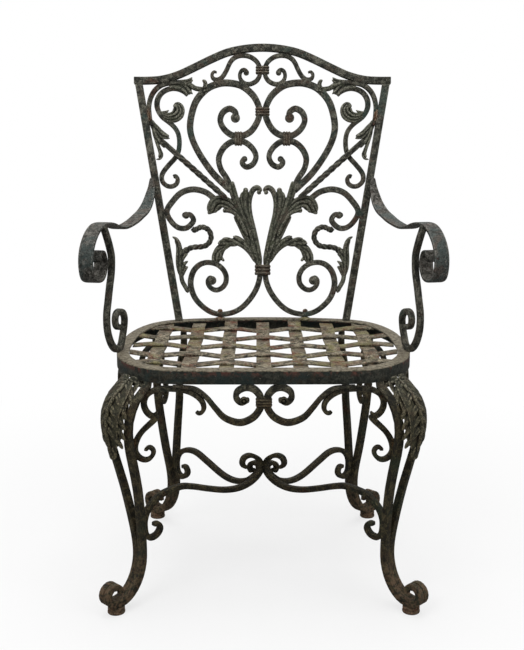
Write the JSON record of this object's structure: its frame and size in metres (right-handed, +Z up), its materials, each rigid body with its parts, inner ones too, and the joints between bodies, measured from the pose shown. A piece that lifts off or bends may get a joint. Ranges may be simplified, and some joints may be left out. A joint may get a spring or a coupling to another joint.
{
  "type": "wrought iron garden armchair",
  "caption": "Wrought iron garden armchair with a high arched scrollwork back, acanthus leaves, woven strap seat, rolled arms, paired curved legs and crossed stretchers.",
  "frame": {"origin": "on the ground, under the middle of the chair's overall box", "axes": "+Z up, the chair's front faces -Y, X = 0 is its plane of symmetry"},
  "size_m": [0.6096, 0.5284, 0.9861],
  "materials": {
    "bars": "dark green-black paint, pitted, with rust",
    "seat_band": "dark teal-green paint over rust",
    "arms": "dark paint worn to brown",
    "straps": "worn khaki-grey paint with rust and lichen",
    "cast_leaves": "rough cast iron, weathered paint"
  },
  "bodies": {
    "root": {"top_rail": "bars", "left_stile": "bars", "right_stile": "bars", "left_crest_scroll": "bars", "right_crest_scroll": "bars", "left_heart_scroll": "bars", "right_heart_scroll": "bars", "left_inner_scroll": "bars", "right_inner_scroll": "bars", "left_corner_scroll": "bars", "right_corner_scroll": "bars", "left_corner_leaf": "cast_leaves", "right_corner_leaf": "cast_leaves", "left_corner_s": "bars", "right_corner_s": "bars", "left_volute_leaf": "cast_leaves", "right_volute_leaf": "cast_leaves", "left_twisted_bar": "bars", "right_twisted_bar": "bars", "left_bar_leaf": "cast_leaves", "right_bar_leaf": "cast_leaves", "left_side_scroll": "bars", "right_side_scroll": "bars", "left_hook_bar": "bars", "right_hook_bar": "bars", "left_side_leaf": "cast_leaves", "right_side_leaf": "cast_leaves", "left_base_scroll": "bars", "right_base_scroll": "bars", "left_base_leaf": "cast_leaves", "right_base_leaf": "cast_leaves", "left_stem_leaf": "cast_leaves", "right_stem_leaf": "cast_leaves", "back_collars": "bars", "back_bosses": "cast_leaves", "seat_frame": "seat_band", "long_straps": "straps", "cross_straps": "straps", "left_arm": "arms", "right_arm": "arms", "left_arm_support": "bars", "right_arm_support": "bars", "front_left_leg": "bars", "front_right_leg": "bars", "rear_left_leg": "bars", "rear_right_leg": "bars", "left_knee_leaf": "cast_leaves", "right_knee_leaf": "cast_leaves", "foot_pads": "cast_leaves", "left_apron_scroll": "bars", "right_apron_scroll": "bars", "apron_collar": "bars", "front_brackets": "bars", "side_front_brackets": "bars", "side_rear_brackets": "bars", "front_left_stretcher": "bars", "front_right_stretcher": "bars", "rear_left_stretcher": "bars", "rear_right_stretcher": "bars"}
  },
  "joints": []
}
